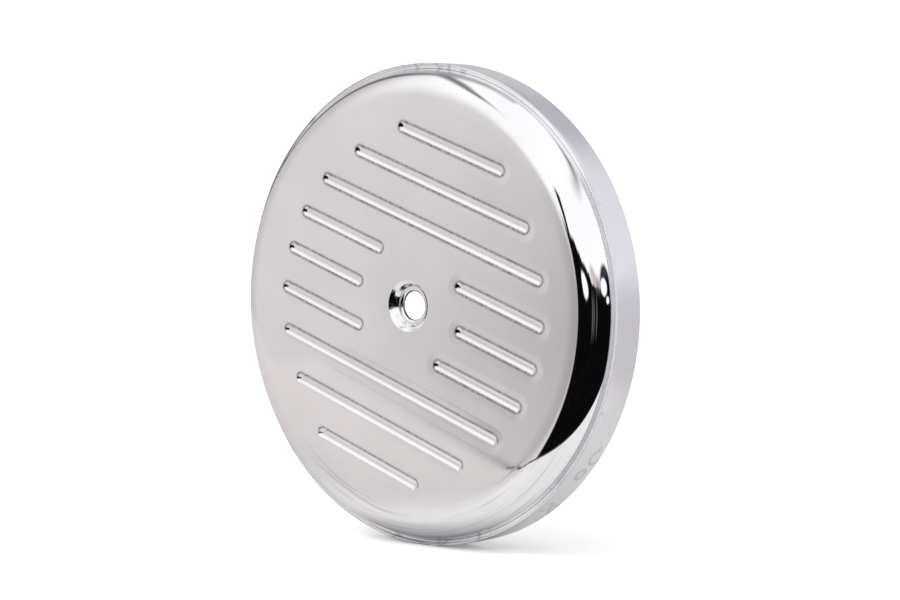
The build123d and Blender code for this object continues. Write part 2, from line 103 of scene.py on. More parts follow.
ROUND_SEGMENTS = 360
SHARP = radians(40)


def at(radius, angle, depth):
    """The point at this radius and angle about the cover's axis, angle from +X towards +Z."""
    return Vector((radius * cos(angle), -depth, radius * sin(angle))) * MM


def polar(centre, radius, angle, depth):
    """The same about another axis along Y, through centre (x, z)."""
    return at(radius, angle, depth) + Vector((centre[0], 0, centre[1])) * MM


def outward(angle):
    """The way straight out from such an axis at this angle."""
    return Vector((cos(angle), 0, sin(angle)))


def circle(count):
    """This many even steps once round, as angles."""
    return [tau * k / count for k in range(count)]


# ---- Meshes with exact normals ----


class Skin:
    """Faces gathered with the exact normal at each corner, welded into one mesh at the end."""

    def __init__(self):
        self.index, self.points, self.faces, self.normals = {}, [], [], []
        self.marks = {}

    def vertex(self, point, marks=None):
        key = tuple(round(c * 5e6) for c in point)
        if key not in self.index:
            self.index[key] = len(self.points)
            self.points.append(tuple(point))
            for name, value in (marks or {}).items():
                self.marks.setdefault(name, {})[self.index[key]] = value
        return self.index[key]

    def face(self, corners, marks=None):
        """corners is [(point, normal), ...]; repeated points are dropped."""
        ring = []
        for k, (point, normal) in enumerate(corners):
            v = self.vertex(point, marks[k] if marks else None)
            if v not in [u for u, _ in ring]:
                ring.append((v, normal))
        if len(ring) < 3:
            return
        a, b, c = (Vector(self.points[v]) for v, _ in (ring[0], ring[1], ring[-1]))
        facing = sum((Vector(n) for _, n in ring), Vector())
        if (b - a).cross(c - a).dot(facing) < 0:
            ring.reverse()
        self.faces.append([v for v, _ in ring])
        self.normals.extend(tuple(n) for _, n in ring)

    def grid(self, rows, closed=False, marks=None):
        """rows is a list of equally long lists of (point, normal)."""
        count = len(rows[0])
        for i in range(len(rows) - 1):
            for j in range(count if closed else count - 1):
                k = (j + 1) % count
                ids = [(i, j), (i, k), (i + 1, k), (i + 1, j)]
                given = [marks[a][b] for a, b in ids] if marks else None
                self.face([rows[a][b] for a, b in ids], given)

    def build(self, name, exact=True):
        """One object. Without exact normals it's smooth but for edges of over 40 degrees."""
        mesh = bpy.data.meshes.new(name)
        mesh.from_pydata(self.points, [], self.faces)
        mesh.update()
        mesh.shade_smooth()
        if exact:
            mesh.normals_split_custom_set(self.normals)
        else:
            mesh.set_sharp_from_angle(angle=SHARP)
        for mark, values in self.marks.items():
            column = np.zeros(len(self.points), np.float32)
            column[list(values)] = list(values.values())
            mesh.attributes.new(mark, "FLOAT", "POINT").data.foreach_set("value", column)
        obj = bpy.data.objects.new(name, mesh)
        bpy.context.scene.collection.objects.link(obj)
        return obj


def rounded(corners, step=8.0, closed=False, fewest=2):
    """Samples of an outline whose corners (x, y, radius) are rounded: (x, y, normal x, normal y).

    The normal is to the left of the way the outline runs. step is in degrees of each round,
    which has this many steps at the fewest.
    """
    points = [Vector(c[:2]) for c in corners]
    count = len(points)
    samples = []
    for i, here in enumerate(points):
        if not closed and i in (0, count - 1):
            a, b = (here, points[1]) if i == 0 else (points[-2], here)
            way = (b - a).normalized()
            samples.append((*here, -way.y, way.x))
            continue
        before, after = points[i - 1], points[(i + 1) % count]
        way_in, way_out = (here - before).normalized(), (after - here).normalized()
        turn = atan2(way_in.x * way_out.y - way_in.y * way_out.x, way_in.dot(way_out))
        radius = max(corners[i][2], 1e-4)
        cut = radius * tan(abs(turn) / 2)
        start = here - way_in * cut
        side = 1 if turn > 0 else -1
        centre = start + Vector((-way_in.y, way_in.x)) * radius * side
        steps = max(fewest, ceil(degrees(abs(turn)) / step))
        first = atan2(start.y - centre.y, start.x - centre.x)
        for k in range(steps + 1):
            a = first + turn * k / steps
            out = Vector((cos(a), sin(a)))
            samples.append((*(centre + out * radius), *(-side * out)))
    return samples


def turned(skin, outline, centre=(0, 0), segments=ROUND_SEGMENTS, closed=False, marks=None):
    """Turns an outline of (radius, depth, normals) about the Y axis through centre (x, z)."""
    rows = []
    for radius, depth, nr, nd in outline + (outline[:1] if closed else []):
        row = []
        for a in circle(segments):
            normal = (nr * cos(a), -nd, nr * sin(a))
            row.append((polar(centre, radius, a, depth), normal))
        rows.append(row)
    values = marks and [[marks(radius, depth)] * segments for radius, depth, _, _ in outline]
    skin.grid(rows, closed=True, marks=values)


# ---- Cover ----

FLAT_OUTER = 73.2
SHOULDER_START = CREASE_RADIUS - SHOULDER_RADIUS
ROLL_OFF = radians(1.8)
FLAT_INNER = SEAT_LIP_RADIUS + 0.5
DISH_SLOPE = 0.021
DISH_FLAT, DISH_END = 2.5, 3.5
# reach of the painted shade along the groove lips
LIP_SHADE_WIDTH, LIP_SHADE_END = 0.42, 1.3
MILLED_FADE = 0.4
COLUMN_GAP, ROW_GAP = 2.6, 2.25
GRID_ROWS, GRID_REACH = 34, 76
GRID_RIM_GAP, GRID_LIP_GAP = 1.5, 5.8
LIP_STEPS, BALL_STEPS, ROUND_STEPS = 6, 14, 14
WEAR_REACH, LEAST_WEAR = 40, 0.35
# how far from a groove's lip each ring of points lies, and how far apart its points are
RINGS = ((0.35, 1.2), (0.8, 1.2), (1.6, 1.6), (DISH_FLAT, 2.0), (3.0, 2.0), (DISH_END, 2.0))

BALL_HEIGHT = sqrt(BALL_RADIUS**2 - GROOVE_HALF_WIDTH**2)
LIP_OFFSET = sqrt((BALL_RADIUS + GROOVE_LIP) ** 2 - (BALL_HEIGHT + GROOVE_LIP) ** 2)
LIP_ANGLE = asin(LIP_OFFSET / (BALL_RADIUS + GROOVE_LIP))

ALONG = Vector((cos(TILT), 0, sin(TILT)))
ACROSS = Vector((-sin(TILT), 0, cos(TILT)))
FORWARD = Vector((0, -1, 0))


def groove_spans():
    """Every groove as its row's height and the ends of its cutter's path along the row."""
    spans = []
    for row in range(-END_ROW, END_ROW + 1):
        height = row * PITCH
        tip = END_ROW_TIP if abs(row) == END_ROW else sqrt(OUTER_TIPS**2 - height**2)
        outer = tip - GROOVE_HALF_WIDTH
        if row in SPLIT_ROWS:
            inner = sqrt(INNER_TIPS**2 - height**2) + GROOVE_HALF_WIDTH
            spans += [(height, -outer, -inner), (height, inner, outer)]
        else:
            spans.append((height, -outer, outer))
    return spans


def stadium(height, start, end, offset, spacing=1.2):
    """Points and outward ways round a groove at this offset: [(along, across, way a, way b)]."""
    steps = max(2, ceil((end - start) / spacing))
    ring = [(start + (end - start) * k / steps, offset, 0, 1) for k in range(steps + 1)]
    back = [(a, -b, 0, -1) for a, b, _, _ in reversed(ring)]
    for middle, first, side in ((end, pi / 2, back), (start, -pi / 2, [])):
        for k in range(1, ROUND_STEPS):
            a = first - pi * k / ROUND_STEPS
            way = (cos(a), sin(a))
            ring.append((middle + offset * way[0], offset * way[1], *way))
        ring += side
    return [(a, height + b, wa, wb) for a, b, wa, wb in ring]


def groove_section():
    """Half of a groove's section from its lip to its bottom: (offset, depth, normals)."""
    section = []
    for k in range(LIP_STEPS + 1):
        a = LIP_ANGLE * k / LIP_STEPS
        offset = LIP_OFFSET - GROOVE_LIP * sin(a)
        section.append((offset, FACE_DEPTH - GROOVE_LIP * (1 - cos(a)), a))
    for k in range(1, BALL_STEPS + 1):
        a = LIP_ANGLE * (1 - k / BALL_STEPS)
        depth = FACE_DEPTH + BALL_HEIGHT - BALL_RADIUS * cos(a)
        section.append((BALL_RADIUS * sin(a), depth, a))
    return [(offset, depth, -sin(a), cos(a)) for offset, depth, a in section]


def face_distance(points, span):
    """Distance of (along, across) points from a groove's lip, and the way away from it."""
    height, start, end = span
    near = np.stack([np.clip(points[:, 0], start, end), np.full(len(points), height)], 1)
    away = points - near
    length = np.linalg.norm(away, axis=1)
    return length - LIP_OFFSET, away / np.maximum(length, 1e-9)[:, None]


def lip_shade(gap, height, across):
    """Painted shade along a groove's lip: a dark line, less of it on the lower lip of the low
    grooves, where that lip catches a highlight.
    """
    side = 1.0 if across >= height else min(1.0, max(0.05, 1 + (height + PITCH) / 20))
    return exp(-((gap / LIP_SHADE_WIDTH) ** 2)) * side


def dished(points):
    """How far polishing has sunk the face at (along, across) points, and the face's slope.

    The slope is even beside a groove, ends a few mm from it, and is steeper towards +X.
    """
    sink = np.zeros(len(points))
    slope = np.zeros((len(points), 2))
    wear = np.clip((points[:, 0] + WEAR_REACH) / (2 * WEAR_REACH), 0, 1)
    wear = DISH_SLOPE * (LEAST_WEAR + (1 - LEAST_WEAR) * wear * wear * (3 - 2 * wear))
    width = DISH_END - DISH_FLAT
    for span in groove_spans():
        gap, away = face_distance(points, span)
        gap = np.maximum(gap, 0)
        t = np.clip((DISH_END - gap) / width, 0, 1)
        steep = t * t * (3 - 2 * t)
        fading = width * (t**3 - t**4 / 2)
        sink += wear * np.where(gap < DISH_FLAT, width / 2 + DISH_FLAT - gap, fading)
        slope += (wear * steep)[:, None] * away
    return sink, slope


def face_to_frame(a, b, depth):
    return (ALONG * a + ACROSS * b + FORWARD * depth) * MM


def circle_points(radius):
    """A circle about the axis as (along, across), at the turned shell's own angles."""
    angles = [a - TILT for a in circle(ROUND_SEGMENTS)]
    return [(radius * cos(a), radius * sin(a)) for a in angles]


def flat_face(skin):
    """The flat of the cover between its round edge, its grooves and its screw seat."""
    spans = groove_spans()

    def open_flat(where, from_rims, from_lips):
        """Which of these points lie further than this from both round edges and every lip."""
        radius = np.hypot(where[:, 0], where[:, 1])
        free = (radius < FLAT_OUTER - from_rims) & (radius > FLAT_INNER + from_rims)
        for span in spans:
            free &= face_distance(where, span)[0] > from_lips
        return free

    loops = [circle_points(FLAT_OUTER), circle_points(FLAT_INNER)]
    loops += [[p[:2] for p in stadium(*span, LIP_OFFSET)] for span in spans]
    points, edges = [], []
    for loop in loops:
        first = len(points)
        points += loop
        edges += [(first + k, first + (k + 1) % len(loop)) for k in range(len(loop))]
    # rings of points round each groove follow the painted lip shade and the dish
    for ring, spacing in RINGS:
        for span in spans:
            points += [p[:2] for p in stadium(*span, LIP_OFFSET + ring, spacing)]
    # points in staggered rows fill the rest
    rows = range(-GRID_ROWS, GRID_ROWS + 1)
    columns = np.arange(-GRID_REACH, GRID_REACH + 1, COLUMN_GAP)
    grid = np.array([(x + y % 2 * COLUMN_GAP / 2, y * ROW_GAP) for y in rows for x in columns])
    points += [tuple(p) for p in grid[open_flat(grid, GRID_RIM_GAP, GRID_LIP_GAP)]]
    given = [Vector(p) for p in points]
    verts, _, triangles, origins, _, _ = delaunay_2d_cdt(given, edges, [], 0, 1e-5)
    flat = np.array([points[o[0]] if o else tuple(v) for v, o in zip(verts, origins)])
    centres = np.array([flat[list(t)].mean(0) for t in triangles])
    sink, slope = dished(flat)
    # how much painted shade lies along the groove lips at each point
    shade_mark = np.zeros(len(flat))
    for span in spans:
        gaps, _ = face_distance(flat, span)
        for v in np.nonzero(gaps < LIP_SHADE_END)[0]:
            shade_mark[v] = lip_shade(gaps[v], span[0], flat[v][1])
    for triangle, wanted in zip(triangles, open_flat(centres, 0, 0)):
        if not wanted:
            continue
        corners = []
        for v in triangle:
            # the face drops towards a groove, so its normal leans that way
            normal = (FORWARD - ALONG * slope[v][0] - ACROSS * slope[v][1]).normalized()
            corners.append((face_to_frame(*flat[v], FACE_DEPTH - sink[v]), normal))
        skin.face(corners, [{"flat": 1.0, "lip_shade": shade_mark[v]} for v in triangle])


def groove(skin, span):
    """One ball-milled groove, from its polished lip down to the cutter's path."""
    rows, marks = [], []
    sink, _ = dished(np.array([p[:2] for p in stadium(*span, LIP_OFFSET)]))
    for offset, depth, nw, nd in groove_section():
        row, mark = [], []
        inward = LIP_OFFSET - offset
        for (a, b, wa, wb), s in zip(stadium(*span, max(offset, 0)), sink):
            normal = (ALONG * wa + ACROSS * wb) * nw + FORWARD * nd
            row.append((face_to_frame(a, b, depth - s), normal))
            # painted shade along the lip, fading down into the groove
            shade_mark = lip_shade(inward, span[0], b)
            mark.append({"milled": min(1, inward / MILLED_FADE), "along": a, "lip_shade": shade_mark})
        rows.append(row)
        marks.append(mark)
    skin.grid(rows, closed=True, marks=marks)


def cover_outline():
    """The cover's whole turned section, from its flat out over the rim and back to the seat."""
    crown_end = CREST_DEPTH - CROWN_RADIUS * sin(CROWN_ANGLE)
    crest = COVER_RADIUS - CROWN_RADIUS * (1 - cos(CROWN_ANGLE))
    crown_corner = crown_end + CROWN_RADIUS * tan(CROWN_ANGLE / 2)
    # polishing lets the flat fall away a little before the shoulder begins
    fall = (SHOULDER_START - FLAT_OUTER) * tan(ROLL_OFF / 2)
    roll = (SHOULDER_START - FLAT_OUTER) / ROLL_OFF
    middle = (SHOULDER_START + FLAT_OUTER) / 2
    corner = FACE_DEPTH - (CREASE_RADIUS - middle) * tan(ROLL_OFF)
    corners = [
        (FLAT_OUTER, FACE_DEPTH, 0),
        (middle, FACE_DEPTH, roll * 0.98),
        (CREASE_RADIUS, corner, SHOULDER_RADIUS - fall),
        (CREASE_RADIUS, FACE_DEPTH - SHOULDER_RADIUS - 0.25, 0.5),
        (crest, CREST_DEPTH, 0.3),
        (COVER_RADIUS, crown_corner, CROWN_RADIUS * 0.98),
        (COVER_RADIUS, RIM_DEPTH, 0.8),
        (COVER_RADIUS - WALL, RIM_DEPTH, 0.8),
        (COVER_RADIUS - WALL, INSIDE_STEP, 1.5),
        (INSIDE_RADIUS, crown_end, 1.5),
        (INSIDE_RADIUS, INSIDE_DEPTH, 5.0),
        (HOLE_RADIUS + 0.9, INSIDE_DEPTH, 0.1),
        (HOLE_RADIUS, INSIDE_DEPTH + 0.7, 0.2),
        (HOLE_RADIUS, SEAT_FLOOR_DEPTH + 0.1, 1.2),
        (SEAT_FLOOR_RADIUS - 0.1, SEAT_FLOOR_DEPTH, 0.3),
        SEAT_BEND,
        (SEAT_LIP_RADIUS, FACE_DEPTH, 0.3),
        (FLAT_INNER, FACE_DEPTH, 0),
    ]
    return rounded(corners, step=3.0, fewest=8)


def cover_marks(radius, depth):
    """Where the turned shell is cut in the seat, is the outer band, or is the notch behind it."""
    in_seat = radius < SEAT_LIP_RADIUS and depth > INSIDE_DEPTH
    in_notch = CREASE_RADIUS - 0.05 < radius < COVER_RADIUS - 0.3 and depth > CREST_DEPTH - 3
    return {
        "milled": float(in_seat),
        "along": 1.2 * (radius - depth) if in_seat else 0.0,
        "band": float(radius > CREASE_RADIUS + 0.1),
        "notch": float(in_notch),
    }


def make_cover():
    skin = Skin()
    turned(skin, cover_outline(), marks=cover_marks)
    flat_face(skin)
    for span in groove_spans():
        groove(skin, span)
    return skin.build("chrome_cover")


# ---- Shader helpers ----


def linear(*srgb):
    """An sRGB colour given as 0 to 255, as the linear RGBA that a shader takes."""
    channels = [c / 255 for c in srgb]
    return (*[c / 12.92 if c <= 0.04045 else ((c + 0.055) / 1.055) ** 2.4 for c in channels], 1)


class Graph:
    """A new material, with short calls for the nodes that the finishes share."""

    def __init__(self, name, kind="BsdfPrincipled"):
        self.material = bpy.data.materials.new(name)
        self.material.use_nodes = True
        self.tree = self.material.node_tree
        self.tree.nodes.clear()
        self.shader = self.node(kind)
        self.node("OutputMaterial", {"Surface": self.shader.outputs[0]})

    def node(self, kind, inputs=None, **settings):
        made = self.tree.nodes.new("ShaderNode" + kind)
        for key, value in settings.items():
            setattr(made, key, value)
        for key, value in (inputs or {}).items():
            self.feed(made.inputs[key], value)
        return made

    def feed(self, socket, value):
        if isinstance(value, bpy.types.NodeSocket):
            self.tree.links.new(value, socket)
        else:
            socket.default_value = value

    def math(self, operation, *values):
        return self.node("Math", dict(enumerate(values)), operation=operation).outputs[0]

    def times(self, product, *others):
        for value in others:
            product = self.math("MULTIPLY", product, value)
        return product

    def plus(self, a, b):
        return self.math("ADD", a, b)

    def line(self, value, slope, start):
        return self.math("MULTIPLY_ADD", value, slope, start)

    def split(self, vector):
        return self.node("SeparateXYZ", {0: vector}).outputs

    def length(self, x, y):
        squares = [self.math("POWER", value, 2.0) for value in (x, y)]
        return self.math("SQRT", self.plus(*squares))

    def mark(self, name):
        """A mark that the mesh carries at its vertices."""
        return self.node("Attribute", attribute_name=name).outputs["Fac"]

    def ramp(self, value, low, high, to_low=0.0, to_high=1.0):
        """value taken from low..high to to_low..to_high smoothly, held at the ends."""
        inputs = {"Value": value, 1: low, 2: high, 3: to_low, 4: to_high}
        return self.node("MapRange", inputs, interpolation_type="SMOOTHSTEP").outputs[0]

    def band(self, value, low, high, soft):
        """1 between low and high, with edges this soft."""
        rise = self.ramp(value, low - soft, low + soft)
        fall = self.ramp(value, high - soft, high + soft, 1.0, 0.0)
        return self.times(rise, fall)

    def spot(self, across, up, centre, reach, soft):
        """1 inside an ellipse at centre with these half widths, with soft edges."""
        offsets = [
            self.math("ABSOLUTE", self.line(value, 1 / half, -middle / half))
            for value, middle, half in zip((across, up), centre, reach)
        ]
        return self.ramp(self.length(*offsets), 1 - soft, 1 + soft, 1.0, 0.0)

    def mix(self, share, a, b):
        return self.node("Mix", {0: share, 6: a, 7: b}, data_type="RGBA").outputs[2]

    def noise(self, vector, scale, detail, roughness=0.5):
        inputs = {"Vector": vector, "Scale": scale, "Detail": detail, "Roughness": roughness}
        return self.node("TexNoise", inputs).outputs["Fac"]

    def bump(self, height, distance, **below):
        """Relief in metres, on top of another bump if that is given as Normal."""
        inputs = {"Height": height, "Distance": distance, "Strength": 1.0, **below}
        return self.node("Bump", inputs).outputs[0]

    def set(self, name, value):
        self.feed(self.shader.inputs[name], value)

    def finish(self, colour, rough, normal, metal=0.0):
        """Sets the shader's main inputs, each to a socket or one value. Returns the material."""
        self.set("Base Color", colour)
        self.set("Roughness", rough)
        self.set("Normal", normal)
        self.set("Metallic", metal)
        return self.material

    def place(self, stretch=(1, 1, 1)):
        """Object coordinates, stretched."""
        inputs = {"Vector": self.node("TexCoord").outputs["Object"], "Scale": stretch}
        return self.node("Mapping", inputs).outputs[0]


def chrome():
    """Bright chrome: faint haze, streaks, dried water, painted shade along the groove lips, a
    painted reflection in the notch, and tool marks in the cuts.
    """
    g = Graph("chrome")
    where = g.place()
    cloud = g.noise(where, 28, 3)
    fine = g.noise(where, 900, 2)
    names = ("milled", "along", "band", "flat", "lip_shade", "notch")
    milled, along, band, flat, shade_mark, notch = map(g.mark, names)
    x, y, z = g.split(where)
    # painted reflection in the notch, held from low down to a little above the middle; elsewhere
    # the notch mirrors
    notch = g.times(notch, g.band(z, -0.064, 0.04, 0.014))

    # thin wiping streaks that follow the rim, low on the shoulder
    radius = g.length(x, z)
    around = {"X": g.times(x, 24.0), "Y": g.times(z, 24.0), "Z": g.times(g.plus(radius, y), 1000.0)}
    lines = g.ramp(g.noise(g.node("CombineXYZ", around).outputs[0], 1.0, 2), 0.54, 0.72)
    shoulder = g.math("SUBTRACT", 1.0, g.math("MAXIMUM", flat, g.math("MAXIMUM", band, milled)))
    low = g.times(shoulder, g.ramp(z, -0.02, -0.06))
    streaks = g.times(lines, low, g.ramp(radius, 0.072, 0.076))

    # dried water rings on the band
    rings = g.node("TexVoronoi", {"Vector": where, "Scale": 95.0, "Randomness": 0.9})
    ring = g.band(rings.outputs["Distance"], 0.26, 0.34, 0.06)
    patch = g.ramp(g.noise(where, 40, 1), 0.44, 0.56)
    marks = g.times(ring, patch, band)

    ragged = g.ramp(g.noise(where, 700, 3), 0.3, 0.7, 0.55, 1.0)
    colour = g.mix(g.ramp(cloud, 0.3, 0.7), linear(240, 240, 242), linear(247, 247, 249))
    # over the tone go water rings, wiping streaks, a painted reflection in the notch and painted
    # shade along the groove lips
    for mask, srgb in (
        (marks, (200, 200, 206)),
        (streaks, (212, 212, 217)),
        (notch, (226, 225, 230)),
        (g.times(shade_mark, ragged, 0.85), (70, 70, 72)),
    ):
        colour = g.mix(mask, colour, linear(*srgb))
    rough = g.ramp(cloud, 0.3, 0.7, 0.028, 0.045)
    for mask, more in ((milled, 0.05), (flat, 0.035), (notch, 0.5), (streaks, 0.08), (marks, 0.1)):
        rough = g.plus(rough, g.times(mask, more))

    steps = g.node("CombineXYZ", {"X": along, "Y": fine})
    chatter = g.noise(steps.outputs[0], 2.2, 3, 0.7)
    cut = g.bump(g.times(chatter, milled), 0.00006)
    peel = g.bump(g.noise(where, 150, 1), 0.0000035, Normal=cut)
    # the notch behind the shoulder is pale and matt, not metal: a painted reflection of the glow
    # that chrome there would mirror
    return g.finish(colour, rough, peel, g.math("SUBTRACT", 1.0, notch))


# ---- Studio ----

CAMERA_AZIMUTH = radians(40.08)
CAMERA_ELEVATION = radians(3.116)
CAMERA_DISTANCE = 0.9018
CAMERA_AIM = Vector((0.0201, -FACE_DEPTH * MM, 0.0029))
CAMERA_LENS = 100
FLOOR_LEVEL = COVER_LOW.z
DOME_RADIUS = 12


def towards(azimuth, elevation):
    """The way that lies this far round from -Y towards +X, and this far up, in radians."""
    flat = cos(elevation)
    return Vector((sin(azimuth) * flat, -cos(azimuth) * flat, sin(elevation)))


def aimed(name, data, place, way):
    """A camera or lamp at this place that faces this way."""
    made = bpy.data.objects.new(name, data)
    bpy.context.scene.collection.objects.link(made)
    made.location = place
    made.rotation_mode = "QUATERNION"
    made.rotation_quaternion = way.to_track_quat("-Z", "Y")
    return made


def add_camera():
    data = bpy.data.cameras.new("camera")
    data.lens, data.sensor_width = CAMERA_LENS, 36
    data.clip_start, data.clip_end = 0.01, 50
    back = towards(CAMERA_AZIMUTH, CAMERA_ELEVATION)
    place = CAMERA_AIM + back * CAMERA_DISTANCE
    bpy.context.scene.camera = aimed("camera", data, place, -back)


def studio_paint():
    """What the chrome mirrors: panels, softbox and dark room, laid out by direction."""
    g = Graph("studio_walls", "Emission")
    way = g.node("TexCoord").outputs["Object"]
    way = g.node("VectorMath", {0: way}, operation="NORMALIZE").outputs[0]
    x, y, z = g.split(way)
    azimuth = g.math("DEGREES", g.math("ARCTAN2", x, g.times(y, -1.0)))
    elevation = g.math("DEGREES", g.math("ARCSINE", z))
    wobble = g.math("SUBTRACT", g.noise(way, 9, 3), 0.5)

    def cover(mask, strength, *srgb):
        nonlocal colour
        colour = g.mix(g.times(mask, strength), colour, linear(*srgb))

    def spot(*where, across=azimuth):
        return g.spot(across, elevation, *where)

    # white softbox over everything, and a grey panel on the left that brightens towards it
    white = linear(255, 255, 255)
    climb = g.line(azimuth, 0.5, g.plus(elevation, 40.0))
    panel_colour = g.mix(g.ramp(azimuth, -100, -46), linear(197, 193, 194), linear(216, 211, 211))
    panel_colour = g.mix(g.ramp(climb, 22, 66), panel_colour, white)
    near_edge = g.times(g.ramp(azimuth, -34, -20), g.ramp(elevation, 1, 12))
    panel_colour = g.mix(g.times(near_edge, 0.9), panel_colour, white)
    panel = g.times(g.band(azimuth, -170, -14, 4), g.ramp(elevation, 72, 84, 1.0, 0.0))
    colour = g.mix(panel, white, panel_colour)
    # a dim gap between the panel and the dark room, low down
    cover(spot((-28.5, -4.5), (9.8, 6.2), 0.6), 0.8, 152, 146, 144)

    # the panel's far edge, and the seam that bends from it over the softbox
    lean = g.line(elevation, -0.3, azimuth)
    edge = g.times(g.band(lean, -130, -116, 5), g.band(elevation, 2, 56, 8))
    cover(edge, 0.92, 98, 98, 100)
    bow = g.math("POWER", g.math("ABSOLUTE", g.plus(azimuth, 72.0)), 2.0)
    seam_height = g.line(bow, 0.0051, g.math("SUBTRACT", elevation, 65.3))
    seam = g.times(g.band(seam_height, -4.0, 3.0, 3.0), g.band(azimuth, -125, -22, 12))
    cover(seam, 0.9, 100, 100, 102)
    cover(spot((-136, 54), (30, 12), 0.5), 0.75, 160, 160, 163)

    # right: pale wall, a dull strip that drops along the ceiling, and two dim patches behind
    right = g.math("MAXIMUM", g.ramp(azimuth, 108, 118), g.ramp(azimuth, -150, -165))
    right = g.times(right, g.ramp(elevation, 44, 56, 1.0, 0.0))
    cover(right, 1.0, 222, 220, 226)
    cover(g.times(right, g.band(elevation, -30, 5, 6)), 0.9, 196, 193, 200)
    strip_height = g.line(azimuth, -0.17, g.math("SUBTRACT", elevation, 35.0))
    strip = g.times(g.band(strip_height, -4.5, 4.0, 4.0), g.band(azimuth, 60, 150, 14))
    strip_colour = g.mix(g.ramp(azimuth, 60, 135), linear(226, 226, 228), linear(128, 128, 131))
    colour = g.mix(strip, colour, strip_colour)
    wrapped = g.math("WRAP", azimuth, 360.0, 0.0)
    cover(spot((192, 40), (22, 13), 0.6, across=wrapped), 0.85, 172, 171, 178)
    cover(spot((216, 24), (16, 20), 0.6, across=wrapped), 0.6, 194, 192, 199)

    # dark room on the camera's side: two humps of clutter along its top
    top = g.line(wobble, 5.0, elevation)
    right_edge = g.line(g.math("MINIMUM", elevation, 3.0), 1.1, azimuth)
    room = g.times(g.ramp(azimuth, -22, -17.5), g.ramp(right_edge, 110, 118, 1.0, 0.0))
    hump = spot((91, 4), (22, 12), 0.12)
    rise = g.line(g.band(azimuth, -12, 34, 6), 2.5, 6.5)
    sill = g.ramp(g.math("SUBTRACT", top, rise), -0.7, 0.9, 1.0, 0.0)
    slant = g.line(azimuth, -1.35, elevation)
    spike = g.times(g.band(slant, 20.5, 27.0, 1.2), g.band(elevation, 4, 20, 1.5))
    dark = g.math("MAXIMUM", g.times(room, g.math("MAXIMUM", sill, hump)), spike)
    colour = g.mix(dark, colour, linear(9, 8, 9))
    haze = g.times(g.band(azimuth, 52, 72, 7), g.band(top, 5, 10.5, 2.5))
    cover(haze, 0.75, 112, 104, 108)
    cover(spot((46, 10), (9, 3.2), 0.4), 0.7, 196, 150, 150)
    cover(g.times(hump, g.ramp(elevation, 9, 13)), 0.6, 70, 68, 92)

    # lamps and odd reflections inside it
    for lamp in (((13.5, 3.0), (10.5, 3.0)), ((84, 7.2), (12.5, 3.6)), ((97, 2.0), (6, 1.5))):
        cover(spot(*lamp, 0.14), 1.0, 255, 255, 255)
    for middle in (37, 43, 53):
        cover(spot((middle, -4), (1.4, 7), 0.5), 0.5, 150, 148, 145)
    upright = g.node("Mapping", {"Vector": way, "Scale": (30, 30, 5)}).outputs[0]
    clutter = g.ramp(g.noise(upright, 1.6, 4), 0.55, 0.75)
    clutter = g.times(clutter, g.times(dark, g.ramp(elevation, 3, -3)))
    cover(clutter, 0.5, 40, 38, 42)
    g.set("Color", colour)
    g.set("Strength", 1.08)
    return g.material


def dome():
    """A sphere round the studio that only mirror rays see."""
    skin = Skin()
    rows = []
    for i in range(33):
        e = pi * (i / 32 - 0.5)
        rows.append([(towards(a, e) * DOME_RADIUS, (0, 0, 1)) for a in circle(64)])
    skin.grid(rows, closed=True)
    made = skin.build("studio_walls")
    made.data.materials.append(studio_paint())
    made.visible_camera = made.visible_diffuse = made.visible_shadow = False
    made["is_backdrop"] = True


def slab(name, corners, surface):
    """A flat level stage surface through these (x, y) corners."""
    skin = Skin()
    skin.face([(Vector((x, y, FLOOR_LEVEL)), (0, 0, 1)) for x, y in corners])
    made = skin.build(name)
    made.data.materials.append(surface)
    made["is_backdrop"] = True
    return made


def paper(name, glow=0.0):
    """Pale paper with a faint grain."""
    g = Graph(name)
    grain = g.noise(g.place(), 60, 3)
    tone = g.mix(grain, linear(247, 246, 245), linear(250, 249, 248))
    g.finish(tone, 0.9, g.bump(grain, 0.00002))
    g.set("Specular IOR Level", 0.0)
    g.set("Emission Color", (1, 1, 1, 1))
    g.set("Emission Strength", glow)
    return g, tone


TABLE_FRONT, TABLE_BACK, TABLE_SIDE, TABLE_LIFT = 0.112, 1.2, 0.9, 0.0002


def table_paper():
    """The mirrored table, with painted shade in its colour: bright in front of the cover, dimmer
    around it, a painted contact shadow right under it and a painted dark strip along its front
    edge.
    """
    g, tone = paper("table_paper")
    x, y, _ = g.split(g.place())
    front = towards(CAMERA_AZIMUTH, 0)
    ahead = g.plus(g.times(x, front.x), g.times(y, front.y))
    left = g.plus(g.times(x, front.y), g.times(y, -front.x))
    # painted shade: darker behind the cover and out to either side
    shade = g.mix(g.ramp(ahead, -0.1, 0.03), linear(192, 190, 194), linear(240, 239, 239))
    shade = g.mix(g.ramp(left, 0.03, 0.2), shade, linear(206, 201, 201))
    shade = g.mix(g.ramp(left, -0.05, -0.25), shade, linear(198, 195, 201))
    # painted contact shadow under the cover
    contact_shadow = g.spot(x, y, (0.0, -0.026), (0.034, 0.015), 0.6)
    shade = g.mix(g.times(contact_shadow, 0.5), shade, linear(140, 140, 147))
    # painted shade: a dark strip along the front edge, where the table's edge falls into shade
    front_edge = g.ramp(ahead, TABLE_FRONT - 0.004, TABLE_FRONT - 0.0025)
    shade = g.mix(front_edge, shade, linear(60, 58, 56))
    both = {0: 1.0, 6: tone, 7: shade}
    tinted = g.node("Mix", both, data_type="RGBA", blend_type="MULTIPLY")
    g.set("Base Color", tinted.outputs[2])
    return g.material


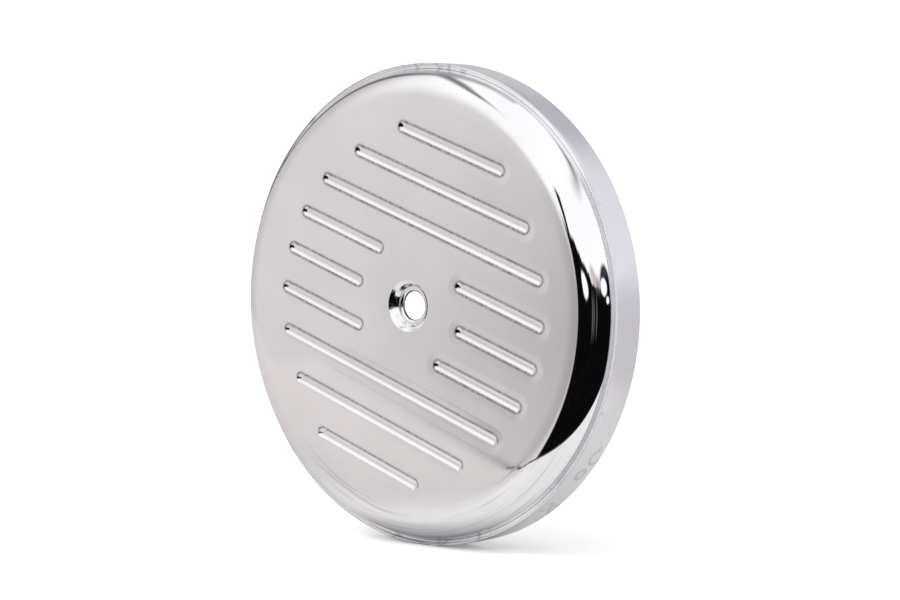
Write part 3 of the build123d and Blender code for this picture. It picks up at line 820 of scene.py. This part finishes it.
def add_floor():
    far = 8.0
    corners = [(-far, -far), (far, -far), (far, far), (-far, far)]
    wide = slab("floor", corners, paper("floor_paper", 0.25)[0].material)
    wide.visible_glossy = False
    # the mirror rays see a table instead, which ends just in front of the cover
    front = towards(CAMERA_AZIMUTH, 0)
    side = Vector((cos(CAMERA_AZIMUTH), sin(CAMERA_AZIMUTH), 0)) * TABLE_SIDE
    near, pit_shade = front * TABLE_FRONT, -front * TABLE_BACK
    ring = [near - side, near + side, pit_shade + side, pit_shade - side]
    table = slab("table", [p[:2] for p in ring], table_paper())
    table.location.z = TABLE_LIFT
    table.visible_camera = table.visible_diffuse = table.visible_shadow = False


def add_light():
    world = bpy.data.worlds.new("studio")
    bpy.context.scene.world = world
    world.use_nodes = True
    background = world.node_tree.nodes["Background"].inputs
    background["Color"].default_value = (1, 1, 1, 1)
    background["Strength"].default_value = 1.05
    lamp = bpy.data.lights.new("key", "AREA")
    lamp.size, lamp.energy = 0.9, 9.0
    place = Vector((-0.7, -1.1, 1.3))
    aimed("key", lamp, place, -place).visible_glossy = False
    bpy.context.scene.view_settings.view_transform = "Standard"


# ---- Finishes of the rest ----


def plated(name, tint, rough, scale, lathe=0.0):
    """Plated or bare metal with patchy gloss, fine scratches and, if wanted, lathe rings."""
    g = Graph(name)
    where = g.place()
    patch = g.noise(where, scale, 4)
    streak = g.noise(g.place((1, 14, 1)), scale * 8, 3, 0.7)
    dull = [c * 0.86 for c in tint[:3]] + [1]
    gloss = g.line(g.plus(patch, streak), rough * 0.6, rough * 0.5)
    relief = g.bump(streak, 0.00001)
    if lathe:
        x, _, z = g.split(where)
        rings = g.math("SINE", g.times(g.length(x, z), tau / (lathe * MM)))
        relief = g.bump(rings, 0.000008, Normal=relief)
    return g.finish(g.mix(g.ramp(patch, 0.35, 0.65), dull, tint), gloss, relief, 1.0)


def cast_metal():
    """Die-cast aluminium with a grainy skin; the lip's top and the ring's are machined bright."""
    g = Graph("cast_aluminium")
    where = g.place()
    grain = g.noise(where, 1400, 3, 0.6)
    cloud = g.noise(where, 35, 4)
    depth = g.times(g.split(where)[1], -1000.0)
    bright = g.ramp(depth, 5.7, 5.9)
    skin = g.mix(g.ramp(cloud, 0.3, 0.7), linear(150, 152, 154), linear(176, 178, 180))
    colour = g.mix(bright, skin, linear(214, 215, 217))
    rough = g.ramp(bright, 0, 1, g.line(cloud, 0.14, 0.4), 0.22)
    pits = g.times(grain, g.math("SUBTRACT", 1.0, bright))
    return g.finish(colour, rough, g.bump(pits, 0.00006), 1.0)


def rubbery(name, tint, rough, cells, relief):
    """Foam, rubber or moulded urethane: fine cells or grain with painted shade in their pits, and a
    faint bloom.
    """
    g = Graph(name)
    where = g.place()
    cell = g.node("TexVoronoi", {"Vector": where, "Scale": cells}).outputs["Distance"]
    bloom = g.ramp(g.noise(where, 40, 4), 0.4, 0.75)
    pale = [c * 1.7 + 0.01 for c in tint[:3]] + [1]
    tone = g.mix(g.times(bloom, 0.5), tint, pale)
    # painted shade: each cell darkens towards its pit, where the relief is lowest
    pit_shade = [c * 0.5 for c in tint[:3]] + [1]
    colour = g.mix(g.ramp(cell, 0.1, 0.5, 0.5, 0.0), tone, pit_shade)
    return g.finish(colour, g.line(bloom, 0.15, rough), g.bump(cell, relief))


def gauze():
    """Red oiled cotton gauze: a fine weave with painted shade in its hollows, and darker,
    oil-soaked patches.
    """
    g = Graph("oiled_gauze")
    where = g.place()
    x, y, z = g.split(where)
    around = g.math("ARCTAN2", z, x)
    warp = g.math("SINE", g.times(around, 1100.0))
    weft = g.math("SINE", g.times(y, tau / 0.0006))
    weave = g.line(g.times(warp, weft), 0.5, 0.5)
    oil = g.ramp(g.noise(where, 90, 3), 0.35, 0.7)
    fresh, soaked_and_shaded = (0.62, 0.09, 0.08, 1), (0.33, 0.03, 0.03, 1)
    # painted shade: the weave's hollows take the dark soaked red, its crests the fresh red
    thread = g.mix(weave, soaked_and_shaded, fresh)
    colour = g.mix(g.times(oil, 0.6), thread, soaked_and_shaded)
    return g.finish(colour, g.ramp(oil, 0, 1, 0.8, 0.5), g.bump(weave, 0.00015))


def fibre():
    """Compressed gasket sheet: flecks and short fibres."""
    g = Graph("gasket_fibre")
    where = g.place()
    fleck = g.noise(where, 2600, 3, 0.7)
    strand = g.noise(g.place((1, 1, 9)), 700, 3, 0.6)
    tone = g.mix(g.ramp(fleck, 0.4, 0.65), (0.16, 0.18, 0.165, 1), (0.26, 0.285, 0.26, 1))
    colour = g.mix(g.ramp(strand, 0.62, 0.7), tone, (0.4, 0.41, 0.38, 1))
    relief = g.bump(g.plus(fleck, strand), 0.00004)
    return g.finish(colour, g.ramp(strand, 0.3, 0.7, 0.75, 0.9), relief)


# ---- Shapes of the rest ----


def finish_piece(obj, body, node, slot, surface):
    obj.data.materials.append(surface)
    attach(obj, body)
    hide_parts(node)


def spun(name, outline, centres=((0, 0),), segments=240, step=12.0):
    """A turned piece, or several the same, from a closed outline of (radius, depth, round)."""
    skin = Skin()
    for centre in centres:
        turned(skin, rounded(outline, step, closed=True), centre, segments, closed=True)
    return skin.build(name)


def thread(skin, centre, root, crest, pitch, start, end, segments):
    """A screw thread's surface from start depth back to end depth, fading in at both ends."""
    steps = 8
    rows = []
    for i in range(-steps, ceil((start - end) / pitch * steps) + 1):
        lift = 0.5 - 0.5 * cos(tau * i / steps)
        lift = min(1.0, max(0.0, lift * 1.3 - 0.15))
        row = []
        for j in range(segments + 1):
            a = tau * j / segments
            raw = start - pitch * (i / steps + j / segments)
            depth = min(start, max(end, raw))
            fade = min(1.0, (start - depth) / pitch * 1.5, (depth - end) / pitch * 1.5)
            radius = root + (crest - root) * lift * max(0.0, fade)
            row.append((polar(centre, radius, a, depth), outward(a)))
        rows.append(row)
    skin.grid(rows)


def stack(skin, centre, levels, segments):
    """A skin over (radius, depth) levels, each a number or a function of the angle."""
    rings = []
    for level in levels:
        reach, drop = (v if callable(v) else (lambda a, v=v: v) for v in level)
        rings.append([polar(centre, reach(a), a, drop(a)) for a in circle(segments)])
    for one, other in zip(rings, rings[1:]):
        for j in range(segments):
            k = (j + 1) % segments
            quad = [one[j], one[k], other[k], other[j]]
            way = (quad[1] - quad[0]).cross(quad[2] - quad[0])
            if way.length < 1e-14:
                way = (quad[2] - quad[0]).cross(quad[3] - quad[0])
            way = way.normalized()
            skin.face([(p, way) for p in quad])


def hexagon(flats, corner_round=0.0):
    """Radius of a hexagon this wide across its flats, as a function of the angle."""

    def radius(a):
        sharp = flats / 2 / cos(a % (pi / 3) - pi / 6)
        return min(sharp, flats / sqrt(3) - corner_round)

    return radius


def solid(skin, name):
    return unify(skin.build(name, exact=False))


def unify(obj):
    """Turns every face outwards and marks the edges of over 40 degrees as sharp."""
    work = bmesh.new()
    work.from_mesh(obj.data)
    bmesh.ops.recalc_face_normals(work, faces=work.faces)
    work.to_mesh(obj.data)
    work.free()
    obj.data.set_sharp_from_angle(angle=SHARP)
    return obj


def soft_node(name, width, surface):
    """A CAD node shown as it is, with a finish and its sharp edges rounded by this many mm."""
    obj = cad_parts[name]
    obj.data.materials.clear()
    obj.data.materials.append(surface)
    obj.modifiers.new("weld", "WELD").merge_threshold = 1e-6
    bevel = obj.modifiers.new("soft_edges", "BEVEL")
    bevel.width = width * MM
    bevel.segments = 3
    bevel.limit_method = "ANGLE"
    bevel.angle_limit = radians(35)
    bevel.harden_normals = True


def node_depths(name):
    """The back and front depth of a CAD node, in mm."""
    low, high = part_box(name)
    return -high.y / MM, -low.y / MM


# ---- Element ----

ELEMENT_INNER, ELEMENT_OUTER = 56.0, 72.0
PLEATS = 60
MEDIA_INNER, MEDIA_OUTER = 58.2, 69.8
GAUZE_THICKNESS = 0.9
PLEAT_RIPPLE = 0.02
BEAD_RADII = (60.0, 68.0)
BEAD_HEIGHT = 0.45


def end_cap(node, face_side):
    """A moulded end cap: round shoulders and two sealing beads on its outer face."""
    back, front = node_depths(node)
    face, edge = (front, back) if face_side > 0 else (back, front)
    low = face - face_side * BEAD_HEIGHT
    bead = ((-1.1, low, 0.4), (-0.55, face, 0.5), (0.55, face, 0.5), (1.1, low, 0.4))
    outline = [(ELEMENT_INNER, edge, 0.3), (ELEMENT_INNER, low, 1.0)]
    for radius in BEAD_RADII:
        outline += [(radius + out, depth, bend) for out, depth, bend in bead]
    outline += [(ELEMENT_OUTER, low, 1.0), (ELEMENT_OUTER, edge, 0.3)]
    if face_side < 0:
        outline.reverse()
    return spun(node + "_moulding", outline, step=10.0)


def pleats():
    """A gauze ribbon folded to and fro round the ring, with round folds."""
    back, front = node_depths("element_media")
    skin = Skin()
    per_fold = 12
    count = PLEATS * per_fold
    low = MEDIA_INNER + GAUZE_THICKNESS / 2
    high = MEDIA_OUTER - GAUZE_THICKNESS / 2
    path = []
    for k in range(count):
        phase = (k % per_fold) / per_fold
        swing = 0.5 + 0.5 * cos(tau * phase)
        steep = swing * swing * (3 - 2 * swing)
        radius = low + (high - low) * (0.35 * swing + 0.65 * steep)
        angle = tau * (k / count + 0.12 / PLEATS * sin(4 * pi * phase) / 2)
        path.append(Vector((radius * cos(angle), radius * sin(angle))))
    ways = [(path[(k + 1) % count] - path[k - 1]).normalized() for k in range(count)]
    sides = [
        [p + Vector((w.y, -w.x)) * side * GAUZE_THICKNESS / 2 for p, w in zip(path, ways)]
        for side in (1, -1)
    ]
    steps = 8
    for side, line in zip((1, -1), sides):
        rows = []
        for i in range(steps + 1):
            depth = back + (front - back) * i / steps
            swell = sin(pi * i / steps)
            row = []
            for k, (p, way) in enumerate(zip(line, ways)):
                p = p + Vector((sin(9.1 * k), cos(5.3 * k))) * PLEAT_RIPPLE * swell
                out = way * side
                row.append((Vector((p.x, -depth, p.y)) * MM, Vector((out.y, 0, -out.x))))
            rows.append(row)
        skin.grid(rows, closed=True)
    for depth, way in ((back, 1), (front, -1)):
        normal = Vector((0, way, 0))
        edges = [[(Vector((p.x, -depth, p.y)) * MM, normal) for p in line] for line in sides]
        skin.grid(edges, closed=True)
    return skin.build("pleats")


def woven_screen(node, radii, uprights, hoops):
    """Wire cloth bent into a tube: hoops and uprights that pass in front and behind in turn."""
    inner, outer = radii
    wire = (outer - inner) / 4 * 0.98
    middle = (inner + outer) / 2
    back, front = node_depths(node)
    skin = Skin()

    def wire_along(path):
        """A wire along a path of (point, way along it, way outwards)."""
        rows = []
        for point, way, normal in path:
            across = way.cross(normal).normalized()
            outs = [normal * cos(a) + across * sin(a) for a in circle(5)]
            rows.append([(point + out * wire * MM, out) for out in outs])
        skin.grid(rows, closed=True)

    for u, angle in enumerate(circle(uprights)):
        path = []
        for i in range(2 * hoops + 1):
            weave = wire * (1 if (i // 2 + u) % 2 else -1) if i % 2 else 0.0
            depth = back + (front - back) * i / (2 * hoops)
            path.append((at(middle + weave, angle, depth), FORWARD, outward(angle)))
        wire_along(path)
    for h in range(hoops):
        depth = back + (front - back) / hoops * (h + 0.5)
        path = []
        for k in range(2 * uprights):
            angle = pi * k / uprights
            weave = 0.0 if k % 2 else wire * (-1 if (h + k // 2) % 2 else 1)
            way = Vector((-sin(angle), 0, cos(angle)))
            path.append((at(middle + weave, angle, depth), way, outward(angle)))
        wire_along(path + path[:1])
    return skin.build(node + "_wires")


def make_element():
    urethane = rubbery("moulded_cap", (0.03, 0.03, 0.033, 1), 0.42, 1500, 0.00003)
    foam = rubbery("foam_seal", (0.035, 0.035, 0.038, 1), 0.8, 1300, 0.00022)
    wire = plated("screen_wire", linear(205, 207, 210), 0.3, 400)
    for name, side in (("element_front_cap", 1), ("element_rear_cap", -1)):
        finish_piece(end_cap(name, side), "element", name, "moulded_cap", urethane)
    finish_piece(pleats(), "element", "element_media", "pleated_media", gauze())
    for name, radii, uprights in (
        ("element_inner_screen", (57.4, 58.0), 160),
        ("element_outer_screen", (70.0, 70.6), 196),
    ):
        made = woven_screen(name, radii, uprights, hoops=10)
        finish_piece(made, "element", name, "screen_wire", wire)
    for name, body, radii, bulge in (
        ("element_base_seal", "element", (58.0, 70.0), 0.4),
        ("cover_seal", "cover", (57.0, 71.0), 0.8),
    ):
        back, front = node_depths(name)
        outline = [(radius, back, bulge) for radius in reversed(radii)]
        outline += [(radius, front, bulge * 0.6) for radius in radii]
        made = spun(name + "_foam", outline)
        finish_piece(made, body, name, "foam_seal", foam)


# ---- Base ----

SCREW_CIRCLE = 43.0
CARBURETTOR_SCREWS = [(SCREW_CIRCLE * cos(a), SCREW_CIRCLE * sin(a)) for a in circle(3)]
BREATHER_BOLTS = [(-37.7, 26.4), (37.7, 26.4)]
BELL_RADIUS = 4.0
O_RING_RADIUS = 7.1


def make_velocity_ring():
    """The bellmouth: a plain tube that opens into a round lip with a flange."""
    back, front = node_depths("velocity_ring")
    throat, press_fit, flange = 33.5, 35.0, 37.5
    outline = [(throat, back, 0.2), (press_fit, back, 0.2), (press_fit, front - 1.5, 2.5)]
    outline += [(flange, front - 1.5, 0.3), (flange, front, 0.3)]
    outline += [(throat, front, BELL_RADIUS - 0.05)]
    return spun("velocity_ring_turned", outline, step=6.0)


def make_socket_screws():
    """Cap screws: a knurled head with a hexagon socket, and a threaded tail."""
    seat, top, thread_end, tip = 4.5, 9.5, -11.2, -12.0
    root, crest, pitch, shank, collar = 2.45, 3.0, 1.0, 3.1, 4.7
    flutes, knurl, knurl_depth = 36, 4.8, 0.16
    socket = hexagon(5.0)

    def knurled(a):
        return knurl - knurl_depth * (0.5 + 0.5 * cos(flutes * a))

    recess = [(0.0, top - 3.6), (socket, top - 3.0), (socket, top - 0.25)]
    recess += [(lambda a: socket(a) + 0.25, top)]
    edge = [(4.3, top), (4.62, top - 0.14), (4.64, top - 0.5)]
    side = [(knurled, top - 0.7), (knurled, seat + 0.9), (collar, seat + 0.6), (collar, seat)]
    head = recess + edge + side + [(shank, seat), (shank, 0.0), (root, 0.0)]
    skin = Skin()
    for centre in CARBURETTOR_SCREWS:
        stack(skin, centre, head, flutes * 4)
        thread(skin, centre, root, crest, pitch, 0.0, thread_end, 36)
        stack(skin, centre, [(root, thread_end), (2.2, tip), (0.0, tip)], 36)
    return solid(skin, "socket_screws")


def make_breather_bolts():
    """Hollow hexagon bolts: a chamfered head with a vent across it, a shank and a thread."""
    seat, top, bore_end = 4.7, 11.7, 8.2
    thread_start, thread_end, tip = -12.2, -24.4, -25.0
    rim, shank, crest, root, pitch, bore, vent = 6.0, 5.6, 5.0, 4.2, 1.5, 2.5, 1.5
    slope = tan(radians(30))
    side = hexagon(12.7, 0.12)
    inside = [(0.0, bore_end), (bore, bore_end), (bore, tip + 0.1), (bore + 0.1, tip)]
    inside += [(4.0, tip), (root, thread_end)]
    outside = [(0.0, top), (rim - 0.15, top), (rim, top - 0.04)]
    outside += [(side, lambda a: top - 0.04 - (side(a) - rim) * slope), (side, seat + 0.25)]
    outside += [(rim, seat), (shank, seat), (shank, thread_start + 0.2), (root, thread_start)]
    skin = Skin()
    for centre in BREATHER_BOLTS:
        stack(skin, centre, inside, 96)
        stack(skin, centre, outside, 96)
        thread(skin, centre, root, crest, pitch, thread_start, thread_end, 96)
    bolts = solid(skin, "hollow_bolts")
    way = Vector((0, 0, 1))
    outs = [Vector((cos(a), sin(a), 0)) for a in circle(48)]
    for x, z in BREATHER_BOLTS:
        drill = Skin()
        ends = [Vector((x, -bore_end, z + reach)) * MM for reach in (-9.0, 9.0)]
        rows = [[(end + out * vent * MM, out) for out in outs] for end in ends]
        drill.grid(rows, closed=True)
        drill.face([(p, -way) for p, _ in rows[0]])
        drill.face([(p, way) for p, _ in rows[1]])
        cut_away(bolts, solid(drill, "drill"))
    return unify(bolts)


def cut_away(obj, cutter):
    """Takes the cutter's solid out of obj and throws the cutter away."""
    cut = obj.modifiers.new("cut", "BOOLEAN")
    cut.object = cutter
    cut.operation = "DIFFERENCE"
    cut.solver = "EXACT"
    depsgraph = bpy.context.evaluated_depsgraph_get()
    carved = bpy.data.meshes.new_from_object(obj.evaluated_get(depsgraph))
    obj.modifiers.remove(cut)
    obj.data = carved
    bpy.data.objects.remove(cutter)


def make_nut():
    """Flanged rivet nut with a rolled front edge and a thread inside."""
    back, front = node_depths("cover_screw_nut")
    bore, crest, pitch, body, flange = 3.97, 3.35, 1.41, 6.0, 6.9
    levels = [(bore, back), (body - 0.2, back), (body, back + 0.2), (body, front - 2.5)]
    levels += [(flange, front - 2.5), (flange, front - 0.5), (flange - 0.15, front - 0.15)]
    levels += [(flange - 0.5, front), (4.3, front), (bore, front - 0.35)]
    skin = Skin()
    stack(skin, (0, 0), levels, 96)
    thread(skin, (0, 0), bore, crest, pitch, front - 0.35, back, 96)
    return solid(skin, "rivet_nut")


def make_base():
    zinc = plated("zinc_plate", linear(203, 203, 200), 0.22, 120)
    zinc_fine = plated("zinc_turned", linear(206, 206, 204), 0.2, 150)
    lathe = plated("turned_aluminium", linear(222, 223, 225), 0.2, 80, lathe=0.22)
    bright = plated("chrome_bolts", linear(236, 236, 238), 0.06, 90)
    copper = plated("copper_washers", linear(212, 152, 120), 0.24, 130)
    nitrile = rubbery("ring_rubber", (0.018, 0.018, 0.018, 1), 0.4, 2600, 0.00001)

    soft_node("backing_plate", 0.25, cast_metal())
    soft_node("carburettor_gasket", 0.12, fibre())
    for name, width in (("bridge", 0.3), ("bridge_screws", 0.12), ("bridge_washers", 0.12)):
        soft_node(name, width, zinc)

    finish_piece(make_velocity_ring(), "base", "velocity_ring", "turned_aluminium", lathe)
    finish_piece(make_socket_screws(), "base", "carburettor_screws", "zinc_steel", zinc_fine)
    finish_piece(make_breather_bolts(), "base", "breather_bolts", "chrome_bolts", bright)
    finish_piece(make_nut(), "base", "cover_screw_nut", "zinc_steel", zinc_fine)

    for name, inner, outer, edge, centres, surface, slot in (
        ("carburettor_washers", 3.3, 5.2, 0.3, CARBURETTOR_SCREWS, zinc_fine, "zinc_steel"),
        ("breather_washers", 5.8, 7.6, 0.35, BREATHER_BOLTS, copper, "copper_washers"),
        ("breather_spacers", 5.8, 8.5, 0.4, BREATHER_BOLTS, lathe, "turned_aluminium"),
    ):
        back, front = node_depths(name)
        outline = [(inner, back, 0.1), (outer, back, edge)]
        outline += [(outer, front, edge), (inner, front, 0.2)]
        made = spun(name + "_turned", outline, centres, segments=96)
        finish_piece(made, "base", name, slot, surface)

    back, front = node_depths("breather_o_rings")
    thick, middle = (front - back) / 2, (back + front) / 2
    ways = [(cos(a), sin(a)) for a in circle(24)]
    outline = [(O_RING_RADIUS + thick * r, middle + thick * d, r, d) for r, d in ways]
    skin = Skin()
    for centre in BREATHER_BOLTS:
        turned(skin, outline, centre, 72, closed=True)
    finish_piece(skin.build("o_rings"), "base", "breather_o_rings", "ring_rubber", nitrile)


# ---- Pieces ----

finish_piece(make_cover(), "cover", "cover", "chrome_cover", chrome())
make_element()
make_base()

add_camera()
add_light()
dome()
add_floor()

[[list(corner) for corner in box] for box in (cad_box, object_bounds())]
